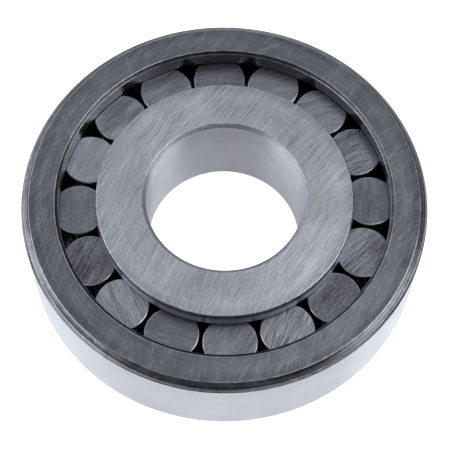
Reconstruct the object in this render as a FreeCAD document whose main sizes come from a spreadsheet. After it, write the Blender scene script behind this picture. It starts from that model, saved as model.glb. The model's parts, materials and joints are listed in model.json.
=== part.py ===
"""Full-complement cylindrical roller bearing, 35 x 90 x 23 mm.

Eighteen pieces: an outer ring with two ribs, an inner ring with one rib, and sixteen rollers
that run between them without a cage. The origin is on the bearing's axis, halfway through its
width, +Z runs along the axis to the side where both rings have a rib, and sizes are in millimetres.
"""
import FreeCAD, Part
import os
import re

import Sketcher

SHEET = "Dimensions"

SIZES = {
    # Boundary dimensions
    "outside_diameter": 90.0,
    "bore_diameter": 35.0,
    "bearing_width": 23.0,
    # Rollers and the circle that their centres lie on
    "roller_diameter": 12.0,
    "roller_length": 14.0,
    "roller_edge_radius": 0.3,
    "roller_total": 16.0,
    "pitch_diameter": 65.2,
    "first_roller_angle": 3.15,
    # Running room between a roller and each raceway, and each rib
    "raceway_gap": 0.02,
    "rib_gap": 0.05,
    # Ribs
    "outer_rib_diameter": 73.6,
    "outer_rib_bevel_radial": 0.75,
    "outer_rib_bevel_axial": 0.55,
    "outer_rib_foot_radial": 0.35,
    "outer_rib_foot_axial": 0.45,
    "inner_rib_diameter": 57.3,
    "inner_rib_bevel_radial": 0.25,
    "inner_rib_bevel_axial": 1.3,
    "inner_rib_foot_radial": 0.3,
    "inner_rib_foot_axial": 0.7,
    # Relief grooves that the grinding wheel runs out into at the foot of each rib
    "relief_depth": 0.35,
    "relief_width": 0.8,
    # Outside corner of the outer ring, two facets that stand in for its turned radius
    "corner_radial": 1.8,
    "corner_axial": 1.75,
    "corner_knee_radial": 0.55,
    "corner_knee_axial": 0.95,
    # Bore corner of the inner ring
    "bore_bevel_radial": 0.8,
    "bore_bevel_axial": 0.7,
    # Lead-in on the ribless end of the inner raceway
    "lead_in_radial": 0.7,
    "lead_in_axial": 1.8,
}


def make_sheet(doc):
    """Spreadsheet with one row for each driving dimension: its name, its value and its alias."""
    sheet = doc.addObject("Spreadsheet::Sheet", SHEET)
    for row, (alias, value) in enumerate(SIZES.items(), start=1):
        sheet.set(f"A{row}", alias.replace("_", " "))
        sheet.set(f"B{row}", str(value))
        sheet.setAlias(f"B{row}", alias)
    doc.recompute()
    return sheet


def bound(expression):
    """The expression with each dimension's name turned into a reference to its cell."""
    def reference(match):
        word = match.group()
        return f"{SHEET}.{word}" if word in SIZES else word
    return re.sub(r"[a-z][a-z_]*", reference, expression)


def origin_plane(body, role):
    """One of the body's own origin planes, found by its role."""
    return next(feature for feature in body.Origin.OriginFeatures if feature.Role == role)


def add_sketch(body, name, role):
    """Empty sketch on one of the body's origin planes."""
    sketch = body.newObject("Sketcher::SketchObject", name)
    sketch.AttachmentSupport = (origin_plane(body, role), [""])
    sketch.MapMode = "FlatFace"
    return sketch


def pin_coordinate(sketch, kind, corner, name, expression):
    """Dimension from the sketch's origin to the start of one edge, driven by the sheet."""
    value = float(sketch.evalExpression(bound(expression)))
    constraint = Sketcher.Constraint(kind, -1, 1, corner, 1, value)
    sketch.addConstraint(constraint)
    sketch.renameConstraint(sketch.ConstraintCount - 1, name)
    sketch.setExpression(f"Constraints.{name}", bound(expression))


def draw_section(body, corners):
    """Closed half-section on the XZ plane through corners given as (radius, height) expressions.

    A corner that keeps the radius or the height of the one before it is held by a vertical or
    horizontal edge, and the others by dimensions from the axis and from the middle of the width.
    """
    sketch = add_sketch(body, body.Name + "_section", "XZ_Plane")
    points = [
        FreeCAD.Vector(*(float(sketch.evalExpression(bound(text))) for text in corner))
        for corner in corners
    ]
    total = len(corners)
    for corner in range(total):
        following = (corner + 1) % total
        sketch.addGeometry(Part.LineSegment(points[corner], points[following]), False)
    for corner in range(total):
        sketch.addConstraint(Sketcher.Constraint("Coincident", corner, 2, (corner + 1) % total, 1))
    for corner, (radius, height) in enumerate(corners):
        previous_radius, previous_height = corners[corner - 1] if corner else ("", "")
        if radius == previous_radius:
            sketch.addConstraint(Sketcher.Constraint("Vertical", corner - 1))
        else:
            pin_coordinate(sketch, "DistanceX", corner, f"radius_{corner}", radius)
        if height == previous_height:
            sketch.addConstraint(Sketcher.Constraint("Horizontal", corner - 1))
        else:
            pin_coordinate(sketch, "DistanceY", corner, f"height_{corner}", height)
    return sketch


def revolve_section(doc, name, corners):
    """Body turned about +Z from one closed half-section."""
    body = doc.addObject("PartDesign::Body", name)
    section = draw_section(body, corners)
    turned = body.newObject("PartDesign::Revolution", name + "_turned")
    turned.Profile = section
    turned.ReferenceAxis = (section, ["V_Axis"])
    turned.Angle = 360
    section.Visibility = False
    return body


def mirrored_below(corners):
    """The same corners below the middle of the width, in the order that closes the outline."""
    return [(radius, f"-({height})") for radius, height in reversed(corners)]


def make_outer_ring(doc):
    """Outer ring: raceway between two ribs, with the outside corners and the ribs' edges bevelled."""
    outside = "outside_diameter / 2"
    rib = "outer_rib_diameter / 2"
    raceway = "(pitch_diameter + roller_diameter) / 2 + raceway_gap"
    relief = raceway + " + relief_depth"
    side = "bearing_width / 2"
    rib_face = "roller_length / 2 + rib_gap"
    upper_half = [
        (raceway, rib_face + " - relief_width"),
        (relief, rib_face + " - relief_width + relief_depth"),
        (relief, rib_face),
        (rib + " + outer_rib_foot_radial", rib_face),
        (rib, rib_face + " + outer_rib_foot_axial"),
        (rib, side + " - outer_rib_bevel_axial"),
        (rib + " + outer_rib_bevel_radial", side),
        (outside + " - corner_radial", side),
        (outside + " - corner_knee_radial", side + " - corner_knee_axial"),
        (outside, side + " - corner_axial"),
    ]
    return revolve_section(doc, "outer_ring", upper_half + mirrored_below(upper_half))


def make_inner_ring(doc):
    """Inner ring: a rib on the +Z side only, so that the ring slides out that way."""
    bore = "bore_diameter / 2"
    rib = "inner_rib_diameter / 2"
    raceway = "(pitch_diameter - roller_diameter) / 2 - raceway_gap"
    relief = raceway + " - relief_depth"
    side = "bearing_width / 2"
    rib_face = "roller_length / 2 + rib_gap"
    corners = [
        (bore, side + " - bore_bevel_axial"),
        (bore + " + bore_bevel_radial", side),
        (rib + " - inner_rib_bevel_radial", side),
        (rib, side + " - inner_rib_bevel_axial"),
        (rib, rib_face + " + inner_rib_foot_axial"),
        (rib + " - inner_rib_foot_radial", rib_face),
        (relief, rib_face),
        (relief, rib_face + " - relief_width + relief_depth"),
        (raceway, rib_face + " - relief_width"),
        (raceway, f"lead_in_axial - {side}"),
        (raceway + " - lead_in_radial", f"-{side}"),
        (bore + " + bore_bevel_radial", f"-{side}"),
        (bore, f"bore_bevel_axial - {side}"),
    ]
    return revolve_section(doc, "inner_ring", corners)


def round_end_edges(body, pad):
    """Fillet on the two circular edges of a roller."""
    circles = [
        f"Edge{number}" for number, edge in enumerate(pad.Shape.Edges, start=1)
        if isinstance(edge.Curve, Part.Circle)
    ]
    fillet = body.newObject("PartDesign::Fillet", body.Name + "_edges")
    fillet.Base = (pad, circles)
    fillet.setExpression("Radius", bound("roller_edge_radius"))


def make_roller(doc, number):
    """One roller, upright on the pitch circle, turned to face the bearing's axis."""
    body = doc.addObject("PartDesign::Body", f"roller_{number:02d}")
    sketch = add_sketch(body, body.Name + "_circle", "XY_Plane")
    radius = SIZES["roller_diameter"] / 2
    sketch.addGeometry(Part.Circle(FreeCAD.Vector(), FreeCAD.Vector(0, 0, 1), radius), False)
    sketch.addConstraint(Sketcher.Constraint("Coincident", 0, 3, -1, 1))
    sketch.addConstraint(Sketcher.Constraint("Diameter", 0, 2 * radius))
    sketch.renameConstraint(1, "diameter")
    sketch.setExpression("Constraints.diameter", bound("roller_diameter"))
    pad = body.newObject("PartDesign::Pad", body.Name + "_pad")
    pad.Profile = sketch
    pad.SideType = "Symmetric"
    pad.setExpression("Length", bound("roller_length"))
    sketch.Visibility = False
    doc.recompute()
    round_end_edges(body, pad)
    angle = f"(first_roller_angle + {number - 1} * 360 / roller_total)"
    body.setExpression("Placement.Base.x", bound(f"pitch_diameter / 2 * cos({angle})"))
    body.setExpression("Placement.Base.y", bound(f"pitch_diameter / 2 * sin({angle})"))
    body.setExpression("Placement.Rotation.Angle", bound(angle))
    return body


def check_document(doc, bodies):
    """Stop on any failed object, and on any sub-part that isn't one valid solid."""
    for item in doc.Objects:
        if {"Invalid", "Error"} & set(item.State):
            raise RuntimeError(f"{item.Label} did not recompute: {item.State}")
    for body in bodies:
        shape = body.Shape
        if shape.isNull() or not shape.isValid() or len(shape.Solids) != 1:
            raise RuntimeError(f"{body.Label} isn't one valid solid")


def main():
    doc = FreeCAD.newDocument("cylindrical_roller_bearing")
    make_sheet(doc)
    rings = [make_outer_ring(doc), make_inner_ring(doc)]
    rollers = [make_roller(doc, number) for number in range(1, int(SIZES["roller_total"]) + 1)]
    bodies = rings + rollers
    doc.recompute()
    check_document(doc, bodies)
    os.makedirs("parts", exist_ok=True)
    for body in bodies:
        body.Shape.exportStep(f"parts/{body.Label}.step")
        print(f"{body.Label}: {body.Shape.Volume:.1f} mm3, z to {body.Shape.BoundBox.ZMax:.2f} mm")


main()
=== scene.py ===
"""Looks for a cageless cylindrical roller bearing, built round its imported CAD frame.

Each ring and roller is turned again as a fine mesh from the section of its CAD node, with its sharp
edges rounded as they are on a real bearing, and stands for that node. Each surface has the finish
of the work that made it: side faces are ground in long arcs, corners are turned, and raceways, bore
and seat are ground round.
"""

import json
import math
import random

import bmesh
import bpy
import numpy as np
from mathutils import Matrix, Vector

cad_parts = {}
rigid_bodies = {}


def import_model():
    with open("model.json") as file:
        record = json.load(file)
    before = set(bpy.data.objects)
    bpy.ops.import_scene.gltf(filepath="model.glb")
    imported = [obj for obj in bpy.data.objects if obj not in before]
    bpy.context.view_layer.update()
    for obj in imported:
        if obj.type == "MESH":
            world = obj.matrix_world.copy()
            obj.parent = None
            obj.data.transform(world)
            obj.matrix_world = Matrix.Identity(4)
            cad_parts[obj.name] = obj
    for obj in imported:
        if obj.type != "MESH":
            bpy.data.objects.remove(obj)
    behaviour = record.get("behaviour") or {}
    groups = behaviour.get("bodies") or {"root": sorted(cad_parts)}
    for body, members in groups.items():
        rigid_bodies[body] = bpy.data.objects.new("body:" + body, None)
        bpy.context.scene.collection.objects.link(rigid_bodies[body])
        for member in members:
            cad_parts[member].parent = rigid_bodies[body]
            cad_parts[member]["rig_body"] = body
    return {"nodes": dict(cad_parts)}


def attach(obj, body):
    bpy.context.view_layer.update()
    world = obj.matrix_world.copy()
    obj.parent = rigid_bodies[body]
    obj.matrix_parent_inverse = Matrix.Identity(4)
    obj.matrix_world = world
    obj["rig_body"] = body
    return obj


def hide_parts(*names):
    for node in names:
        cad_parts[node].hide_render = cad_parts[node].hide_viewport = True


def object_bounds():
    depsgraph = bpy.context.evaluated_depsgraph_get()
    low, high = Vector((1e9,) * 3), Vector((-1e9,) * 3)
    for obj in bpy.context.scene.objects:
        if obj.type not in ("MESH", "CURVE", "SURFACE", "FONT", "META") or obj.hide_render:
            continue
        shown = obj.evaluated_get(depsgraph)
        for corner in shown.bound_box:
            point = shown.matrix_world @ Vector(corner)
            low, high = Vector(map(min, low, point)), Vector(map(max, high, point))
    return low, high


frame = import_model()
cad_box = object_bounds()

MM = 0.001

# Turned meshes
RING_SEGMENTS = 480
ROLLER_SEGMENTS = 144
EDGE_RADIUS = 0.2 * MM
EDGE_STEPS = 6
ROLLER_EDGE_RADIUS = 0.3 * MM
ROLLER_EDGE_STEPS = 8
SAME_PLACE = 0.002 * MM
SMALLEST_TURN = 0.02  # sine of the smallest turn that makes a corner
LARGEST_TRIM = 0.4  # share of a straight side that rounding takes from one of its ends
END_RINGS = (0.02, 0.35, 0.7)  # circles of points on a roller's end, as shares of its radius
END, EDGE, WALL = range(3)  # places of a roller's three finishes

# Layers of silky marks on a side face: how far their arcs are turned in degrees, marks per mm
# across and along the arcs, shift in the noise, its detail, and weight
SILK_LAYERS = [
    (0, 3.0, 0.08, 0.0, 1.0, 0.50),
    (16, 2.7, 0.10, 5.0, 1.0, 0.18),
    (-20, 2.8, 0.10, 9.0, 1.0, 0.16),
    (0, 0.7, 0.04, 7.0, 0.0, 0.08),
    (62, 2.0, 0.20, 3.0, 1.0, 0.08),
]

# Layers of separate lines on a side face: how far their arcs are turned in degrees, lines per mm
# across and along the arcs, shift in the noise, the noise levels between which a patch of them
# fades in, and weight
LINE_LAYERS = [
    (0, 1.5, 0.07, 21.0, (0.40, 0.58), 1.0),
    (16, 1.2, 0.08, 23.0, (0.46, 0.64), 0.9),
    (-20, 0.9, 0.06, 25.0, (0.46, 0.62), 0.9),
    (62, 0.7, 0.05, 27.0, (0.56, 0.68), 0.8),
    (0, 1.3, 0.12, 29.0, (0.50, 0.66), -0.5),
]
PATCHES_ACROSS, PATCHES_ALONG = 0.35, 0.12  # patches of lines per mm of the face
PATCH_SHIFT = 50  # between the noise of the lines and that of their patches
FACE_LINE_WIDTH = 0.035  # how far from its middle the noise may be on a line
ROLLER_LINE_WIDTH = 0.03
ARC_WANDER = 2.4  # mm that the arcs stray sideways at most

# How far in from its rim, in mm, painted shade starts to darken a side face and has reached its
# full depth, and the same for a painted lighter sheen inside that
RIM_SHADE_STARTS, RIM_SHADE_ENDS = 2.4, 0.8
SHEEN_STARTS, SHEEN_ENDS = 5.8, 3.2
SHEEN_SHARE = 0.4  # the painted sheen's lightening, as a share of the painted rim shade's darkening

# By what share steel is bluer than grey, and how much of that share it is less red
STEEL_BLUE = 0.13
RED_LOST = 0.3

# For each roller in turn: direction of the marks on its end in degrees, how light it is, and the
# depth of its fine marks and of its broad bands
ROLLER_LOOKS = [
    (85, -0.1, 0.5, 0.6), (30, -0.1, 0.9, 0.6), (20, 0.1, 0.6, 0.7), (20, 0.1, 0.4, 0.7),
    (5, -0.1, 0.3, 0.8), (35, 0.1, 0.5, 0.9), (50, 0.2, 0.5, 2.2), (75, 0.5, 0.8, 1.2),
    (90, 0.0, 0.4, 0.6), (65, -0.3, 0.7, 0.5), (115, 0.4, 1.6, 0.7), (165, 0.0, 0.5, 0.4),
    (60, -0.05, 0.4, 0.5), (70, 0.1, 1.4, 0.7), (50, -0.3, 0.3, 0.3), (45, -0.1, 0.9, 0.9),
]
SEED = 16
NOISE_SPREAD = 400  # mm of noise in which each roller takes a place of its own

# The photographer's camera, from the middle of the ribbed side face
CAMERA_ELEVATION = 65.06
CAMERA_ROLL = 1.134
CAMERA_DISTANCE = 313.3 * MM
CAMERA_AIM = Vector((0.20, -7.01, 0.0)) * MM
CAMERA_LENS = 114.68
SENSOR_WIDTH = 36.0
CAMERA_NEAR, CAMERA_FAR = 0.01, 20.0

# White table, in metres. Right under the bearing it is painted shadow, near-black and without glow;
# inside the bore and outside the bearing it is white and glows, and it goes from the painted shadow
# to that between two shares of the bore's radius and between two of the outside radius.
TABLE_HALF_WIDTH = 6.0
LIT_IN_BORE = (1.03, 1.04)
LIT_BEYOND = (0.970, 0.985)
# the near-black of the table's painted shadow under the bearing, and the table's white
TABLE_UNLIT, TABLE_WHITE = (0.02, 0.02, 0.02, 1), (0.9, 0.9, 0.9, 1)

# Painted light: a glow of the table that the steel sees but the camera does not, standing for light
# that the table throws on the steel. It is strong near the axis and weak far from it, with both
# distances in metres, another amount in the bore, and the share that is lost behind the bearing as
# painted shade.
SPILL_NEAR, SPILL_FAR = 0.06, 0.22
SPILL_STRONG, SPILL_WEAK = 0.90, 0.10
SPILL_IN_BORE = 0.34
SPILL_LOST_BEHIND = 0.55
BEHIND_STARTS = 0.3  # how far back the loss starts, as a share of the outside radius

# Shades of the room in front of the bearing and behind it, how much lighter it gets low down in
# front and on the left, and what share of its light is lost low down on the right and behind
ROOM_FRONT, ROOM_BACK = 0.05, 0.42
LOW_FRONT_LIGHT = 0.09
LOW_LEFT_LIGHT = 0.8
LOW_RIGHT_LOSS = 0.85
LOW_BACK_LOSS = 0.5
ROOM_COLOUR = (0.96, 0.98, 1.0, 1)
WHITE = (1, 1, 1, 1)

UPWARD = (0, 0, 1)

# Sockets of a Mix node that mixes two colours
MIX_SHARE, MIX_FIRST, MIX_SECOND, MIX_RESULT = 0, 6, 7, 2


# ---------------------------------------------------------------- sections and turned meshes

def cad_section(node):
    """Corners (radius, height) of a turned CAD node's section, in order, anticlockwise."""
    mesh = frame["nodes"][node].data
    places = [
        (round(math.hypot(v.co.x, v.co.y) / SAME_PLACE), round(v.co.z / SAME_PLACE))
        for v in mesh.vertices
    ]
    links = {}
    for edge in mesh.edges:
        first, second = (places[index] for index in edge.vertices)
        if first != second:
            links.setdefault(first, set()).add(second)
            links.setdefault(second, set()).add(first)
    start = max(links)
    loop = [start, min(links[start])]
    while loop[-1] != start:
        loop.append(next(place for place in links[loop[-1]] if place != loop[-2]))
    corners = [Vector(place) * SAME_PLACE for place in loop[:-1]]
    area = sum(a.cross(b) for a, b in zip(corners, corners[1:] + corners[:1]))
    if area < 0:
        corners.reverse()
    return without_straight_corners(corners)


def without_straight_corners(corners):
    """The corners at which the section really turns."""
    kept = []
    for index, corner in enumerate(corners):
        before = (corner - corners[index - 1]).normalized()
        after = (corners[(index + 1) % len(corners)] - corner).normalized()
        if abs(before.cross(after)) > SMALLEST_TURN:
            kept.append(corner)
    return kept


def rounded_section(corners, radius, steps):
    """Points and normals of a section whose corners are rounded, and for each stretch from one
    point to the next the number of the straight side it lies on, or None on a rounded corner."""
    points, normals, sides = [], [], []
    for index, corner in enumerate(corners):
        last, following = corners[index - 1], corners[(index + 1) % len(corners)]
        arriving, leaving = (corner - last).normalized(), (following - corner).normalized()
        turn = math.atan2(arriving.cross(leaving), arriving.dot(leaving))
        room = LARGEST_TRIM * min((corner - last).length, (following - corner).length)
        trim = min(radius * math.tan(abs(turn) / 2), room)
        bend = math.copysign(trim / math.tan(abs(turn) / 2), turn)
        outward = Vector((arriving.y, -arriving.x))
        centre = corner - arriving * trim - outward * bend
        for step in range(steps + 1):
            normal = Matrix.Rotation(turn * step / steps, 2) @ outward
            points.append(centre + normal * bend)
            normals.append(normal)
            sides.append(index if step == steps else None)
    return points, normals, sides


def turned_mesh(name, points, normals, segments, closed, finish_of_stretch, finishes):
    """Mesh turned about the Z axis from a section, smooth by the section's own normals.

    finish_of_stretch gives the place in finishes of the material on each stretch of the section.
    """
    count = len(points)
    angles = np.arange(segments) * 2 * math.pi / segments
    around = np.stack([np.cos(angles), np.sin(angles)], axis=1)
    section = np.array([tuple(p) for p in points])
    facing = np.array([tuple(n) for n in normals])
    coordinates = np.concatenate([
        around[:, None, :] * section[None, :, :1],
        np.broadcast_to(section[None, :, 1:], (segments, count, 1)),
    ], axis=2).reshape(-1, 3)
    directions = np.concatenate([
        around[:, None, :] * facing[None, :, :1],
        np.broadcast_to(facing[None, :, 1:], (segments, count, 1)),
    ], axis=2).reshape(-1, 3)
    stretches = count if closed else count - 1
    faces, slots = [], []
    for segment in range(segments):
        here, there = segment * count, (segment + 1) % segments * count
        for stretch in range(stretches):
            after = (stretch + 1) % count
            faces.append((here + stretch, there + stretch, there + after, here + after))
            slots.append(finish_of_stretch[stretch])
    mesh = bpy.data.meshes.new(name)
    mesh.from_pydata(coordinates.tolist(), [], faces)
    for finish in finishes:
        mesh.materials.append(finish)
    mesh.polygons.foreach_set("material_index", slots)
    mesh.polygons.foreach_set("use_smooth", [True] * len(faces))
    mesh.update()
    mesh.normals_split_custom_set_from_vertices(directions.tolist())
    return mesh


def add_piece(name, mesh, node):
    """Object that stands for a CAD node and rides on its body."""
    piece = bpy.data.objects.new(name, mesh)
    bpy.context.scene.collection.objects.link(piece)
    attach(piece, frame["nodes"][node]["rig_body"])
    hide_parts(node)


# ---------------------------------------------------------------- node trees

class Graph:
    """A material's or the world's node tree, with one short call for each kind of node."""

    def __init__(self, owner):
        owner.use_nodes = True
        self.tree = owner.node_tree
        self.tree.nodes.clear()

    def node(self, kind, inputs, **settings):
        """A node with its settings, each input either a value or another node's output."""
        made = self.tree.nodes.new("ShaderNode" + kind)
        for name, value in settings.items():
            setattr(made, name, value)
        for name, value in inputs.items():
            if isinstance(value, bpy.types.NodeSocket):
                self.tree.links.new(value, made.inputs[name])
            else:
                made.inputs[name].default_value = value
        return made

    def math(self, operation, first, second=0.0, third=0.0):
        inputs = {0: first, 1: second, 2: third}
        return self.node("Math", inputs, operation=operation).outputs[0]

    def remap(self, value, low, high, to_low=0.0, to_high=1.0, smooth=True):
        """to_low to to_high as a value goes from low to high, and no further beyond them."""
        inputs = {"Value": value, "From Min": low, "From Max": high,
                  "To Min": to_low, "To Max": to_high}
        kind = "SMOOTHSTEP" if smooth else "LINEAR"
        return self.node("MapRange", inputs, interpolation_type=kind).outputs[0]

    def vector(self, x, y, z=0.0):
        return self.node("CombineXYZ", {"X": x, "Y": y, "Z": z}).outputs[0]

    def parts(self, vector):
        return self.node("SeparateXYZ", {"Vector": vector}).outputs

    def noise(self, vector, detail=2.0, roughness=0.5):
        """Noise that keeps mostly within 0.3 to 0.7."""
        inputs = {"Vector": vector, "Scale": 1.0, "Detail": detail, "Roughness": roughness}
        return self.node("TexNoise", inputs, noise_dimensions="3D").outputs[0]

    def blotches(self, place, per_mm, detail=2.0, roughness=0.5):
        """Noise that is alike in every direction, with so many blotches per mm."""
        return self.noise(self.scaled(place, per_mm), detail, roughness)

    def swing(self, value, low, high):
        """-1 to 1 as a value goes from low to high."""
        return self.remap(value, low, high, -1, 1, smooth=False)

    def varied(self, middle, noise, share):
        """A value that a noise takes up to a share above and below its middle."""
        return self.remap(noise, 0.3, 0.7, middle * (1 - share), middle * (1 + share), smooth=False)

    def dimmed(self, value, where, share):
        """A value that loses a share of itself as where goes from 0 to 1."""
        return self.math("MULTIPLY", value, self.math("MULTIPLY_ADD", where, -share, 1.0))

    def blend(self, share, first, second):
        """Colour that goes from first to second as share goes from 0 to 1."""
        inputs = {MIX_SHARE: share, MIX_FIRST: first, MIX_SECOND: second}
        return self.node("Mix", inputs, data_type="RGBA").outputs[MIX_RESULT]

    def place(self):
        """Position on the piece, in millimetres."""
        return self.scaled(self.node("TexCoord", {}).outputs["Object"], 1 / MM)

    def attribute(self, name):
        """Vector that a mesh attribute holds."""
        return self.node("Attribute", {}, attribute_name=name).outputs["Vector"]

    def scaled(self, vector, factor):
        return self.node("VectorMath", {0: vector, "Scale": factor}, operation="SCALE").outputs[0]

    def in_world(self, direction):
        """A direction on the piece, turned with the piece to the room's axes."""
        return self.node("VectorTransform", {"Vector": direction}, vector_type="VECTOR",
                         convert_from="OBJECT", convert_to="WORLD").outputs[0]

    def length(self, *parts):
        """Length of the vector that has these parts."""
        squares = self.math("MULTIPLY", parts[0], parts[0])
        for part in parts[1:]:
            squares = self.math("ADD", squares, self.math("MULTIPLY", part, part))
        return self.math("SQRT", squares)

    def ridge(self, noise, width):
        """1 along the lines where a noise crosses its middle, and 0 at a width away from them."""
        off = self.math("ABSOLUTE", self.math("SUBTRACT", noise, 0.5))
        return self.remap(off, 0.0, width, 1.0, 0.0)

    def mixture(self, *shares):
        """Sum of (value, weight) pairs."""
        total = 0.0
        for value, weight in shares:
            total = self.math("MULTIPLY_ADD", value, weight, total)
        return total


class Arcs:
    """Grinding arcs on a flat face, about a centre that lies reach mm away towards heading, an
    angle in degrees."""

    def __init__(self, graph, place, heading, reach):
        turn = math.radians(heading)
        x, y, _ = graph.parts(place)
        wander = graph.blotches(place, per_mm=0.11, detail=1.0)
        self.graph = graph
        self.x = graph.math("SUBTRACT", x, reach * math.cos(turn))
        self.y = graph.math("SUBTRACT", y, reach * math.sin(turn))
        self.distance = graph.math("MULTIPLY_ADD", wander, ARC_WANDER,
                                   graph.length(self.x, self.y))
        outward = graph.math("MULTIPLY_ADD", self.x, -math.cos(turn),
                             graph.math("MULTIPLY", self.y, -math.sin(turn)))
        sideways = graph.math("MULTIPLY_ADD", self.x, math.sin(turn),
                              graph.math("MULTIPLY", self.y, -math.cos(turn)))
        self.along = graph.math("MULTIPLY", graph.math("ARCTAN2", sideways, outward), reach)

    def across(self):
        """Direction at right angles to the arcs."""
        return self.graph.vector(self.x, self.y)

    def streaks(self, across, along, shift=0.0, detail=2.0):
        """Noise with so many streaks per mm across the arcs and along them."""
        graph = self.graph
        where = graph.vector(graph.math("MULTIPLY", self.distance, across),
                             graph.math("MULTIPLY", self.along, along), shift)
        return graph.noise(where, detail)

    def lines(self, across, along, shift, patches):
        """Thin separate lines along the arcs, in patches that cover some of the face."""
        graph = self.graph
        lines = graph.ridge(self.streaks(across, along, shift, detail=1.0), FACE_LINE_WIDTH)
        where = graph.vector(graph.math("MULTIPLY", self.distance, PATCHES_ACROSS),
                             graph.math("MULTIPLY", self.along, PATCHES_ALONG),
                             shift + PATCH_SHIFT)
        return graph.math("MULTIPLY", lines, graph.remap(graph.noise(where), *patches))


def ring_streaks(graph, place, across, along, shift=0.0):
    """Noise drawn out round the axis, as a lathe or a grinding wheel leaves it.

    across and along are how many streaks there are per mm at right angles to them and along them.
    """
    x, y, z = graph.parts(place)
    radius = graph.math("ADD", graph.length(x, y), shift)
    return graph.noise(graph.vector(graph.mixture((x, along), (z, across)),
                                    graph.math("MULTIPLY", y, along),
                                    graph.math("MULTIPLY", radius, across)))


def straight_streaks(graph, place, across, along, shift=0.0, skew=0.0):
    """Noise drawn out along the local X direction, or along a line that rises from it by skew."""
    x, y, z = graph.parts(place)
    return graph.noise(graph.vector(graph.math("MULTIPLY", x, along),
                                    graph.math("MULTIPLY", graph.math("MULTIPLY_ADD", x, -skew, y),
                                               across),
                                    graph.math("ADD", z, shift)))


def metal(graph, value, tones, roughness, height, depth, stretch, across):
    """Bare steel whose colour goes from one tone to the other with value, with marks depth mm deep.

    Its gloss is drawn out, by stretch, across the marks that cover it: in one direction, or half
    in each of two.
    """
    dark, light = tones
    colour = graph.blend(value, (*dark, 1.0), (*light, 1.0))
    normal = graph.node("Bump", {"Strength": 1.0, "Distance": depth * MM, "Height": height})
    shaders = []
    for direction in across:
        inputs = {"Base Color": colour, "Metallic": 1.0, "Roughness": roughness,
                  "Normal": normal.outputs[0], "Anisotropic": stretch,
                  "Tangent": graph.in_world(direction)}
        shaders.append(graph.node("BsdfPrincipled", inputs).outputs[0])
    surface = shaders[0]
    if len(shaders) == 2:
        surface = graph.node("MixShader", {0: 0.5, 1: shaders[0], 2: shaders[1]}).outputs[0]
    graph.node("OutputMaterial", {"Surface": surface})


def grey(level, blue):
    """Steel colour of one reflectance, a little blue."""
    return (level * (1 - blue * RED_LOST), level, level * (1 + blue))


def two_tones(level, darkest, lightest, blue=STEEL_BLUE):
    """The darkest and the lightest colour of a steel, as shares of its reflectance."""
    return grey(level * darkest, blue), grey(level * lightest, blue)


def new_material(name):
    """An empty material and the graph of its nodes."""
    material = bpy.data.materials.new(name)
    return material, Graph(material)


def side_face(name, level, blue, heading, reach, silk, lines, turned, rim, rim_shade):
    """Side face ground flat: fine silky arcs over rings, and separate lines along and across them.

    level and blue are the steel's reflectance and blueness, and heading and reach say where the
    arcs have their centre. silk and lines are how far the marks and the lines lighten and darken
    the face, and turned is the share of the marks that run round the axis. rim_shade is how much
    darker painted shade makes the face along its rim, a radius in mm, and a painted lighter sheen
    lies inside that.
    """
    material, graph = new_material(name)
    place = graph.place()
    turns = dict.fromkeys(turn for turn, *_ in SILK_LAYERS)
    arcs = {turn: Arcs(graph, place, heading + turn, reach) for turn in turns}
    straight = graph.mixture(*(
        (arcs[turn].streaks(across, along, shift, detail), weight)
        for turn, across, along, shift, detail, weight in SILK_LAYERS))
    marks = graph.mixture(*(
        (arcs[turn].lines(across, along, shift, patches), weight)
        for turn, across, along, shift, patches, weight in LINE_LAYERS))
    rings = ring_streaks(graph, place, across=2.2, along=0.10, shift=31.0)
    streaks = graph.mixture((straight, 1 - turned), (rings, turned))
    mottle = graph.blotches(place, per_mm=1.8, detail=1.0)
    blotch = graph.blotches(place, per_mm=0.09)
    x, y, _ = graph.parts(place)
    radius = graph.length(x, y)
    # painted shade darkens the face, unevenly, along its rim, and a painted sheen lightens it
    # inside that
    uneven = graph.remap(graph.blotches(place, per_mm=0.05), 0.38, 0.62, 0.4, 1.6)
    rim_shaded = graph.remap(radius, rim - RIM_SHADE_STARTS, rim - RIM_SHADE_ENDS)
    sheen = graph.remap(radius, rim - SHEEN_STARTS, rim - SHEEN_ENDS)
    value = graph.mixture((graph.swing(streaks, 0.38, 0.62), silk),
                          (graph.swing(mottle, 0.32, 0.68), silk * 0.25),
                          (graph.swing(blotch, 0.30, 0.70), 0.10),
                          (marks, lines),
                          (sheen, rim_shade * SHEEN_SHARE),
                          (graph.math("MULTIPLY", rim_shaded, uneven), -rim_shade))
    metal(graph, graph.math("ADD", value, 0.5), two_tones(level, 0.4, 1.6, blue),
          roughness=graph.remap(streaks, 0.38, 0.62, 0.30, 0.42, smooth=False),
          height=streaks, depth=0.025, stretch=0.65, across=(graph.vector(x, y), arcs[0].across()))
    return material


def turned_corner(name, level, roughness, contrast=0.5):
    """Corner left by a lathe tool: lines round the axis, rubbed and nicked here and there."""
    material, graph = new_material(name)
    place = graph.place()
    lines = ring_streaks(graph, place, across=2.2, along=0.04)
    broad = ring_streaks(graph, place, across=1.2, along=0.03, shift=9.0)
    blotch = graph.blotches(place, per_mm=0.35, detail=4.0)
    nicks = graph.remap(graph.blotches(place, per_mm=1.3), 0.64, 0.70)
    height = graph.mixture((lines, 0.6), (broad, 0.4))
    value = graph.remap(graph.mixture((height, 0.8), (blotch, 0.2)), 0.38, 0.62)
    value = graph.mixture((value, 0.6), (nicks, 0.5))
    metal(graph, value, two_tones(level, 1 - contrast, 1 + contrast * 2),
          roughness=graph.varied(roughness, lines, 0.2),
          height=height, depth=0.07, stretch=0.5, across=(UPWARD,))
    return material


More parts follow.
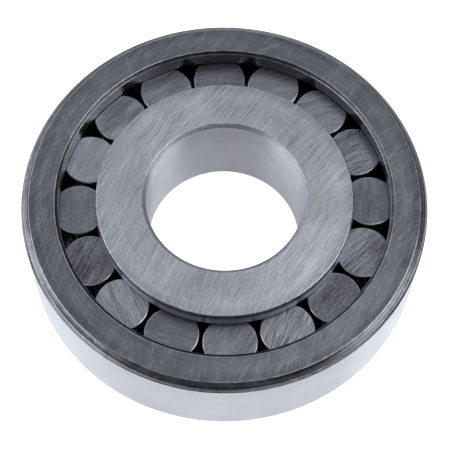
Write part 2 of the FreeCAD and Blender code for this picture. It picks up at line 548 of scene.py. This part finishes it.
def ground_round(name, level, roughness, stretch, blue=0.10):
    """Cylindrical surface ground round: very fine lines round the axis."""
    material, graph = new_material(name)
    place = graph.place()
    lines = ring_streaks(graph, place, across=2.2, along=0.05)
    broad = ring_streaks(graph, place, across=1.1, along=0.03, shift=5.0)
    blotch = graph.blotches(place, per_mm=0.15, detail=3.0)
    height = graph.mixture((lines, 0.7), (broad, 0.3))
    value = graph.remap(graph.mixture((height, 0.5), (blotch, 0.5)), 0.35, 0.65)
    metal(graph, value, two_tones(level, 0.95, 1.05, blue),
          roughness=graph.varied(roughness, lines, 0.1),
          height=height, depth=0.002, stretch=stretch, across=(UPWARD,))
    return material


def worn_edge(name, level):
    """Thin edge between two ground surfaces, bright where it is rubbed, with small nicks."""
    material, graph = new_material(name)
    nicks = graph.blotches(graph.place(), per_mm=0.5, detail=3.0, roughness=0.6)
    metal(graph, graph.remap(nicks, 0.35, 0.65), two_tones(level, 0.7, 1.3),
          roughness=graph.remap(nicks, 0.3, 0.7, 0.22, 0.36, smooth=False),
          height=nicks, depth=0.01, stretch=0.0, across=(UPWARD,))
    return material


def roller_end(name, level):
    """Roller end ground flat: nearly straight marks that lie a different way on each roller."""
    material, graph = new_material(name)
    place = graph.attribute("grain")
    tone, depth, breadth = graph.parts(graph.attribute("look"))
    straight = straight_streaks(graph, place, across=3.2, along=0.12)
    rising = straight_streaks(graph, place, across=3.0, along=0.15, shift=4.0, skew=0.12)
    falling = straight_streaks(graph, place, across=2.6, along=0.15, shift=14.0, skew=-0.25)
    fine = graph.mixture((straight, 0.50), (rising, 0.25), (falling, 0.25))
    broad = straight_streaks(graph, place, across=0.35, along=0.10, shift=9.0)
    scratched = straight_streaks(graph, place, across=1.0, along=0.06, shift=7.0, skew=0.10)
    mottle = graph.blotches(place, per_mm=1.6)
    blotch = graph.blotches(place, per_mm=0.16, detail=1.0)
    marks = graph.mixture((graph.swing(fine, 0.40, 0.60), 0.20),
                          (graph.ridge(scratched, ROLLER_LINE_WIDTH), 0.22))
    bands = graph.math("MULTIPLY", graph.remap(broad, 0.38, 0.62, -1, 1), 0.085)
    value = graph.mixture((marks, depth),
                          (bands, breadth),
                          (graph.swing(blotch, 0.35, 0.65), 0.05),
                          (graph.swing(mottle, 0.35, 0.65), 0.07),
                          (tone, 0.7))
    metal(graph, graph.math("ADD", value, 0.38), two_tones(level, 0.3, 2.0),
          roughness=graph.remap(fine, 0.35, 0.65, 0.25, 0.36, smooth=False),
          height=graph.math("MULTIPLY", fine, depth), depth=0.02, stretch=0.6,
          across=(graph.attribute("lay"),))
    return material


def roller_round(name, level, roughness):
    """Roller wall or rounded edge, ground and lapped, with fine lines round it."""
    material, graph = new_material(name)
    place = graph.attribute("grain")
    lines = ring_streaks(graph, place, across=2.2, along=0.1)
    rubbed = graph.blotches(place, per_mm=0.5, detail=3.0)
    value = graph.remap(graph.mixture((lines, 0.5), (rubbed, 0.5)), 0.38, 0.60)
    metal(graph, value, two_tones(level, 0.7, 1.1),
          roughness=graph.varied(roughness, lines, 0.2),
          height=lines, depth=0.003, stretch=0.5, across=(UPWARD,))
    return material


# ---------------------------------------------------------------- rings

def side_of(first, second, top, narrowest, widest):
    """What one straight side of a ring's section is, from where it lies and which way it runs."""
    if abs(second.x - first.x) < SAME_PLACE:
        if first.x > widest - SAME_PLACE:
            return "outside"
        return "inside" if first.x < narrowest + SAME_PLACE else "track"
    if abs(second.y - first.y) < SAME_PLACE:
        return "face" if abs(abs(first.y) - top) < SAME_PLACE else "rib_face"
    middle = (first.x + second.x) / 2
    return "narrow_corner" if middle < (narrowest + widest) / 2 else "wide_corner"


def face_rim(node):
    """Radius, in mm, of the outer edge of a ring's side face on top."""
    corners = cad_section(node)
    top = max(corner.y for corner in corners)
    return max(corner.x for corner in corners if top - corner.y < SAME_PLACE) / MM


def build_ring(node, finishes_by_side):
    """Ring turned from its CAD section, with the finish that belongs to each of its surfaces."""
    corners = cad_section(node)
    narrowest, widest = (pick(corner.x for corner in corners) for pick in (min, max))
    top = max(corner.y for corner in corners)
    names = list(finishes_by_side)
    points, normals, sides = rounded_section(corners, EDGE_RADIUS, EDGE_STEPS)
    stretch_finishes = []
    for side in sides:
        kind = "edge"
        if side is not None:
            following = corners[(side + 1) % len(corners)]
            kind = side_of(corners[side], following, top, narrowest, widest)
        stretch_finishes.append(names.index(kind))
    finishes = [finishes_by_side[name] for name in names]
    mesh = turned_mesh(node + "_turned", points, normals, RING_SEGMENTS, closed=True,
                       finish_of_stretch=stretch_finishes, finishes=finishes)
    add_piece(node + "_steel", mesh, node)


# ---------------------------------------------------------------- rollers

def wall_circle(node):
    """Middle, radius and length of a roller, from a circle fitted to the points of its wall."""
    coordinates = np.array([tuple(v.co) for v in frame["nodes"][node].data.vertices])
    low, high = coordinates[:, 2].min(), coordinates[:, 2].max()
    reach = abs(coordinates[:, 2] - (low + high) / 2)
    wall = coordinates[reach < reach.min() + SAME_PLACE]
    terms = np.column_stack([2 * wall[:, 0], 2 * wall[:, 1], np.ones(len(wall))])
    squares = (wall[:, :2] ** 2).sum(axis=1)
    x, y, rest = np.linalg.lstsq(terms, squares, rcond=None)[0]
    return Vector((x, y, (low + high) / 2)), math.sqrt(rest + x * x + y * y), high - low


def roller_section(radius, length):
    """Half-section of a roller, as points and normals from the middle of one end to the middle of
    the other, and the number of the stretch that is its wall."""
    half = length / 2
    places = [(radius, -half), (radius, half), (0, half), (0, -half)]
    corners = [Vector(place) for place in places]
    points, normals, _ = rounded_section(corners, ROLLER_EDGE_RADIUS, ROLLER_EDGE_STEPS)
    both_edges = 2 * (ROLLER_EDGE_STEPS + 1)
    rings = [share * radius for share in END_RINGS]
    bottom = [(Vector((ring, -half)), Vector((0, -1))) for ring in rings]
    top = [(Vector((ring, half)), Vector((0, 1))) for ring in reversed(rings)]
    outline = bottom + list(zip(points[:both_edges], normals[:both_edges])) + top
    wall_from = len(bottom) + ROLLER_EDGE_STEPS
    return outline, wall_from


def build_roller(node, finishes, look):
    """Roller with rounded edges, and on its ends the marks and the tone that look gives them.

    finishes are those of its ends, its rounded edges and its wall.
    """
    centre, radius, length = wall_circle(node)
    outline, wall_from = roller_section(radius, length)
    points = [point for point, _ in outline]
    normals = [normal for _, normal in outline]
    stretch_finishes = []
    for stretch in range(len(outline)):
        beyond = abs(stretch - wall_from)
        if beyond == 0:
            stretch_finishes.append(WALL)
        elif beyond <= ROLLER_EDGE_STEPS:
            stretch_finishes.append(EDGE)
        else:
            stretch_finishes.append(END)
    mesh = turned_mesh(node + "_turned", points, normals, ROLLER_SEGMENTS, closed=False,
                       finish_of_stretch=stretch_finishes, finishes=finishes)
    close_ends(mesh, len(outline), ROLLER_SEGMENTS)
    local = np.array([tuple(v.co) for v in mesh.vertices]) / MM
    turn = math.radians(look[0])
    along = np.array([math.cos(turn), math.sin(turn), 0.0])
    across = np.array([-math.sin(turn), math.cos(turn), 0.0])
    upright = np.array([0.0, 0.0, 1.0])
    shift = chance.uniform(0, NOISE_SPREAD) * upright
    # Place of each point along and across the marks in mm, the direction across them, and the look
    set_attribute(mesh, "grain", local @ np.stack([along, across, upright]).T + shift)
    set_attribute(mesh, "lay", np.tile(across, (len(local), 1)))
    set_attribute(mesh, "look", np.tile(look[1:], (len(local), 1)))
    mesh.transform(Matrix.Translation(centre))
    add_piece(node + "_steel", mesh, node)


def set_attribute(mesh, name, vectors):
    """Attribute with one vector for each point of a mesh."""
    attribute = mesh.attributes.new(name, "FLOAT_VECTOR", "POINT")
    attribute.data.foreach_set("vector", vectors.astype(np.float32).ravel())


def close_ends(mesh, count, segments):
    """Flat caps in the small holes left at the middle of a roller's two ends."""
    work = bmesh.new()
    work.from_mesh(mesh)
    work.verts.ensure_lookup_table()
    bottom = [work.verts[segment * count] for segment in range(segments)]
    top = [work.verts[segment * count + count - 1] for segment in range(segments)]
    for ring in (list(reversed(bottom)), top):
        face = work.faces.new(ring)
        face.smooth = True
    work.to_mesh(mesh)
    work.free()


# ---------------------------------------------------------------- studio

def build_camera(top):
    """Camera at the photographer's place, above and in front, with a slight roll."""
    data = bpy.data.cameras.new("camera")
    data.lens = CAMERA_LENS
    data.sensor_width = SENSOR_WIDTH
    data.clip_start = CAMERA_NEAR
    data.clip_end = CAMERA_FAR
    camera = bpy.data.objects.new("camera", data)
    bpy.context.scene.collection.objects.link(camera)
    elevation = math.radians(CAMERA_ELEVATION)
    back = Vector((0, -math.cos(elevation), math.sin(elevation)))
    aim = Vector((0, 0, top)) + CAMERA_AIM
    right = Vector((1, 0, 0))
    upward = back.cross(right)
    axes = Matrix((right, upward, back)).transposed()
    roll = Matrix.Rotation(math.radians(CAMERA_ROLL), 3, "Z")
    camera.matrix_world = Matrix.Translation(aim + back * CAMERA_DISTANCE) @ (axes @ roll).to_4x4()
    bpy.context.scene.camera = camera


def build_floor(bottom, bore, outside):
    """White table with painted light and shade: it glows round the bearing and through its bore,
    and right under the bearing it is painted near-black as a shadow, with no glow.
    """
    half = TABLE_HALF_WIDTH
    mesh = bpy.data.meshes.new("floor")
    places = [(-half, -half), (half, -half), (half, half), (-half, half)]
    mesh.from_pydata([(x, y, bottom) for x, y in places], [], [(0, 1, 2, 3)])
    floor = bpy.data.objects.new("floor", mesh)
    bpy.context.scene.collection.objects.link(floor)
    material, graph = new_material("floor_white")
    x, y, _ = graph.parts(graph.node("TexCoord", {}).outputs["Object"])
    radius = graph.length(x, y)
    in_bore = graph.remap(radius, LIT_IN_BORE[1] * bore, LIT_IN_BORE[0] * bore)
    beyond = graph.remap(radius, LIT_BEYOND[0] * outside, LIT_BEYOND[1] * outside)
    clear = graph.math("ADD", in_bore, beyond)
    behind = graph.remap(y, BEHIND_STARTS * outside, outside)
    # painted light: the table's glow as the steel sees it, with painted shade behind the bearing
    spill = graph.remap(radius, SPILL_NEAR, SPILL_FAR, SPILL_STRONG, SPILL_WEAK)
    spill = graph.math("MULTIPLY", beyond, graph.dimmed(spill, behind, SPILL_LOST_BEHIND))
    spill = graph.mixture((spill, 1.0), (in_bore, SPILL_IN_BORE))
    seen = graph.node("LightPath", {}).outputs["Is Camera Ray"]
    glow = graph.node("Mix", {"Factor": seen, "A": spill, "B": clear}).outputs[0]
    # painted shadow: the table's colour goes near-black right under the bearing
    inputs = {"Base Color": graph.blend(clear, TABLE_UNLIT, TABLE_WHITE),
              "Roughness": 0.6, "Specular IOR Level": 0.0,
              "Emission Color": WHITE, "Emission Strength": glow}
    shader = graph.node("BsdfPrincipled", inputs)
    graph.node("OutputMaterial", {"Surface": shader.outputs[0]})
    mesh.materials.append(material)


def build_world():
    """Grey room, dark in front and low on the right, and plain white where it is looked at.

    x, y and z are those of the direction in which the room is seen from the bearing.
    """
    world = bpy.data.worlds.new("studio")
    bpy.context.scene.world = world
    graph = Graph(world)
    direction = graph.node("TexCoord", {}).outputs["Generated"]
    x, y, z = graph.parts(direction)
    low_front = graph.remap(y, -0.50, -0.75)
    low_right = graph.math("MULTIPLY", graph.remap(x, 0.2, 0.8), graph.remap(z, 0.7, 0.3))
    low_left = graph.math("MULTIPLY", graph.remap(x, -0.5, -0.9), graph.remap(z, 0.6, 0.2))
    low_back = graph.math("MULTIPLY", graph.remap(y, 0.4, 0.9), graph.remap(z, 0.5, 0.15))
    low_back = graph.math("MULTIPLY", low_back, graph.remap(x, -0.8, -0.1))
    shade = graph.remap(y, -0.40, 0.25, ROOM_FRONT, ROOM_BACK)
    shade = graph.math("MULTIPLY_ADD", low_front, LOW_FRONT_LIGHT, shade)
    shade = graph.dimmed(shade, low_right, LOW_RIGHT_LOSS)
    shade = graph.math("MULTIPLY_ADD", low_left, LOW_LEFT_LIGHT, shade)
    shade = graph.dimmed(shade, low_back, LOW_BACK_LOSS)
    room = graph.node("Background", {"Color": ROOM_COLOUR, "Strength": shade})
    backdrop = graph.node("Background", {"Color": WHITE, "Strength": 1.0})
    seen = graph.node("LightPath", {}).outputs["Is Camera Ray"]
    both = graph.node("MixShader", {0: seen, 1: room.outputs[0], 2: backdrop.outputs[0]})
    graph.node("OutputWorld", {"Surface": both.outputs[0]})


def build_softbox(name, direction, distance, width, height, radiance):
    """Rectangular soft light of even radiance that faces the bearing."""
    data = bpy.data.lights.new(name, "AREA")
    data.shape = "RECTANGLE"
    data.size = width
    data.size_y = height
    data.energy = radiance * math.pi * width * height
    light = bpy.data.objects.new(name, data)
    bpy.context.scene.collection.objects.link(light)
    toward = Vector(direction).normalized()
    light.location = toward * distance
    light.rotation_mode = "QUATERNION"
    light.rotation_quaternion = toward.to_track_quat("Z", "Y")


# ---------------------------------------------------------------- the bearing

chance = random.Random(SEED)

build_camera(cad_box[1].z)
bore_radius = min(corner.x for corner in cad_section("inner_ring"))
build_floor(bottom=cad_box[0].z, bore=bore_radius, outside=cad_box[1].x)
build_world()
build_softbox("overhead", (0.42, 0.05, 0.90), distance=0.8, width=0.3, height=0.45, radiance=1.6)
build_softbox("left", (-0.88, -0.25, 0.42), distance=0.9, width=0.75, height=0.60, radiance=1.15)
build_softbox("right", (0.88, -0.22, 0.42), distance=0.9, width=0.70, height=0.60, radiance=1.30)

edge_finish = worn_edge("worn_edge", level=0.74)
build_ring("outer_ring", {
    "face": side_face("outer_side_face", level=0.24, blue=0.155, heading=-31, reach=200, silk=0.20,
                      lines=0.36, turned=0.35, rim=face_rim("outer_ring"), rim_shade=0.18),
    "narrow_corner": turned_corner("outer_rib_bevel", level=0.115, roughness=0.30),
    "wide_corner": turned_corner("outer_corner", level=0.22, roughness=0.30, contrast=0.7),
    "edge": edge_finish,
    "outside": ground_round("outer_seat", level=0.62, roughness=0.34, stretch=1.0),
    "inside": ground_round("outer_rib_wall", level=0.38, roughness=0.27, stretch=0.7),
    "track": ground_round("outer_track", level=0.50, roughness=0.16, stretch=0.5),
    "rib_face": turned_corner("outer_rib_face", level=0.30, roughness=0.35),
})
build_ring("inner_ring", {
    "face": side_face("inner_side_face", level=0.62, blue=0.11, heading=-31, reach=160, silk=0.19,
                      lines=0.12, turned=0.12, rim=face_rim("inner_ring"), rim_shade=0.10),
    "narrow_corner": turned_corner("bore_bevel", level=0.58, roughness=0.52, contrast=0.2),
    "wide_corner": turned_corner("inner_rib_bevel", level=0.42, roughness=0.35, contrast=0.3),
    "edge": edge_finish,
    "outside": ground_round("inner_rib_wall", level=0.90, roughness=0.42, stretch=0.5),
    "inside": ground_round("bore_wall", level=0.80, roughness=0.40, stretch=1.0, blue=0.06),
    "track": ground_round("inner_track", level=0.60, roughness=0.16, stretch=0.5),
    "rib_face": turned_corner("inner_rib_face", level=0.40, roughness=0.35),
})
roller_finishes = [
    roller_end("roller_end", level=0.34),
    roller_round("roller_edge", level=0.62, roughness=0.24),
    roller_round("roller_wall", level=0.6, roughness=0.15),
]
rollers = sorted(name for name in frame["nodes"] if name.startswith("roller_"))
for node, look in zip(rollers, ROLLER_LOOKS):
    build_roller(node, roller_finishes, look)

bpy.context.scene.view_settings.view_transform = "Standard"
